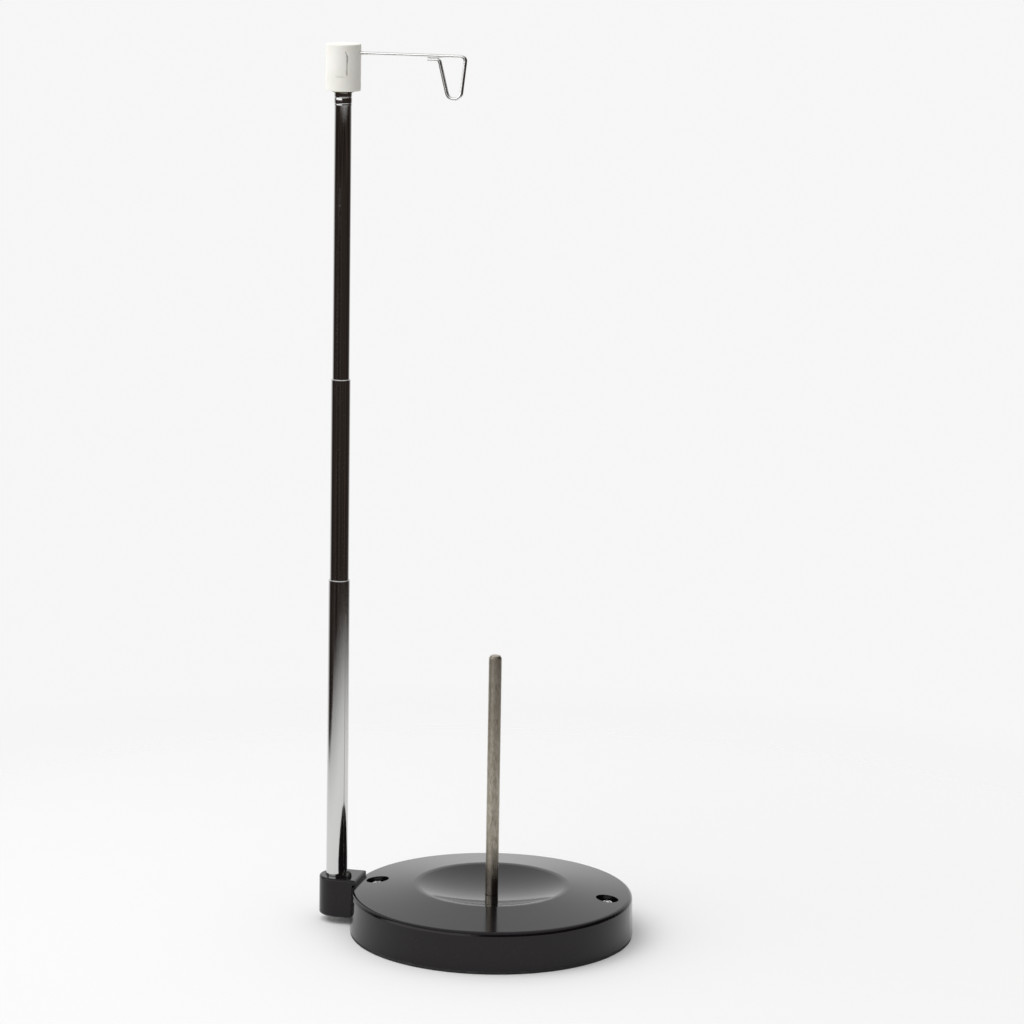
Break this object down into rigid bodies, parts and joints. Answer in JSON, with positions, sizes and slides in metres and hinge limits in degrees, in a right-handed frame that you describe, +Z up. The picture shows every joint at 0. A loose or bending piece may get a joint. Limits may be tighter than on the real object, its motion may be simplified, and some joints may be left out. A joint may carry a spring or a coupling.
{
  "type": "spool holder stand",
  "caption": "Spool stand: weighted round base with a dish and spindle, telescopic mast on a side bracket, and a cap carrying a wire thread guide.",
  "frame": {"origin": "on the table directly under the spindle's axis, at the underside of the base", "axes": "+Z up along the spindle, +X from the mast towards the spindle, +Y away from the viewer of the front"},
  "size_m": [0.149, 0.132, 0.4105],
  "materials": {
    "base_cover": "polished",
    "base_weight": "cast",
    "bottom_plate": "zinc plated",
    "plate_screws": "zinc plated",
    "base_pad": "matte",
    "cover_screws": "zinc plated",
    "spindle": "ground",
    "spindle_washer": "zinc plated",
    "spindle_lock_washer": "spring steel",
    "spindle_nut": "zinc plated",
    "mast_bracket": "polished",
    "mast_lock_screw": "black oxide",
    "mast_fixing_washer": "zinc plated",
    "mast_fixing_screw": "zinc plated",
    "lower_tube": "polished",
    "lower_end_plug": "turned",
    "middle_tube": "polished",
    "middle_spring_bush": "rolled strip",
    "upper_tube": "polished",
    "upper_spring_bush": "rolled strip",
    "tip_plug": "turned",
    "guide_cap": "moulded",
    "thread_guide": "polished"
  },
  "bodies": {
    "base": {"base_cover": "base_cover", "base_weight": "base_weight", "bottom_plate": "bottom_plate", "plate_screws": "plate_screws", "base_pad": "base_pad", "cover_screws": "cover_screws", "spindle": "spindle", "spindle_washer": "spindle_washer", "spindle_lock_washer": "spindle_lock_washer", "spindle_nut": "spindle_nut", "mast_bracket": "mast_bracket", "mast_lock_screw": "mast_lock_screw", "mast_fixing_washer": "mast_fixing_washer", "mast_fixing_screw": "mast_fixing_screw", "lower_tube": "lower_tube", "lower_end_plug": "lower_end_plug"},
    "middle_section": {"middle_tube": "middle_tube", "middle_spring_bush": "middle_spring_bush"},
    "upper_bush": {"upper_spring_bush": "upper_spring_bush"},
    "guide_head": {"upper_tube": "upper_tube", "tip_plug": "tip_plug", "guide_cap": "guide_cap", "thread_guide": "thread_guide"}
  },
  "joints": [
    {"name": "middle_slide", "type": "slide", "parent": "base", "child": "middle_section", "axis": [0, 0, 1], "range_m": [-0.09, 0.035]},
    {"name": "upper_slide", "type": "slide", "parent": "middle_section", "child": "upper_bush", "axis": [0, 0, 1], "range_m": [-0.124, 0]},
    {"name": "guide_swivel", "type": "hinge", "parent": "upper_bush", "child": "guide_head", "pos_m": [-0.0749, 0, 0.33], "axis": [0, 0, 1], "continuous": true}
  ]
}
